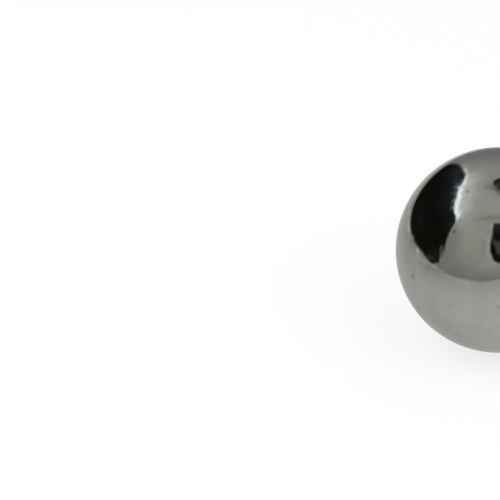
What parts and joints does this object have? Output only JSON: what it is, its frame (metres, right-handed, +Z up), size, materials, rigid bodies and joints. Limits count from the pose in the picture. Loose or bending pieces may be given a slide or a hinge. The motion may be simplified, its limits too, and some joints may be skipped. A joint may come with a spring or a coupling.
{
  "type": "steel ball",
  "caption": "Solid polished steel ball, a true sphere in one piece, that rolls in a track or seats in a cup, cone or round hole.",
  "frame": {"origin": "centre of the ball", "axes": "+Z up, away from the seat that the ball rests in; the ball is the same about every axis through its centre"},
  "size_m": [0.0254, 0.0254, 0.0254],
  "materials": {
    "polished_steel": "polished"
  },
  "bodies": {
    "root": {"ball": "polished_steel"}
  },
  "joints": []
}
